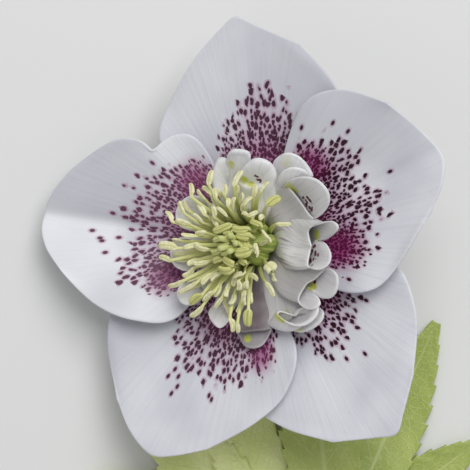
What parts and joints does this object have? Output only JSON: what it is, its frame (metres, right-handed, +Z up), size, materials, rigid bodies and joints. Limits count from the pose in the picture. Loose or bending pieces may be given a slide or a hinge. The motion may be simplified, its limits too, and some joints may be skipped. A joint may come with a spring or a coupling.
{
  "type": "cut hellebore stem",
  "caption": "Cut hellebore flowering stem lying with its open spotted white bloom face up, leafy bracts below it and a closed bud beside it.",
  "frame": {"origin": "centre of the bounding box's base, on the surface that the stem lies on", "axes": "+Z up, out of the surface and towards the viewer of the open bloom; +Y along the stem from its cut end to the bloom; +X to the right of the bloom as seen from above"},
  "size_m": [0.0896, 0.1712, 0.0297],
  "materials": {
    "sepal": "satin white petal with maroon spots",
    "nectary": "satin lilac white petal with yellow-green marks",
    "stamen": "matt yellow-green filaments and cream anthers",
    "carpel": "satin green",
    "stem": "satin green flushed with maroon",
    "bract": "satin yellow-green leaf",
    "bud": "satin greenish white"
  },
  "bodies": {
    "root": {"sepal_top": "sepal", "sepal_right": "sepal", "sepal_lower_right": "sepal", "sepal_lower_left": "sepal", "sepal_left": "sepal", "nectary_petals": "nectary", "stamens": "stamen", "carpels": "carpel", "stem": "stem", "bract_left": "bract", "bract_right": "bract", "bud": "bud"}
  },
  "joints": []
}
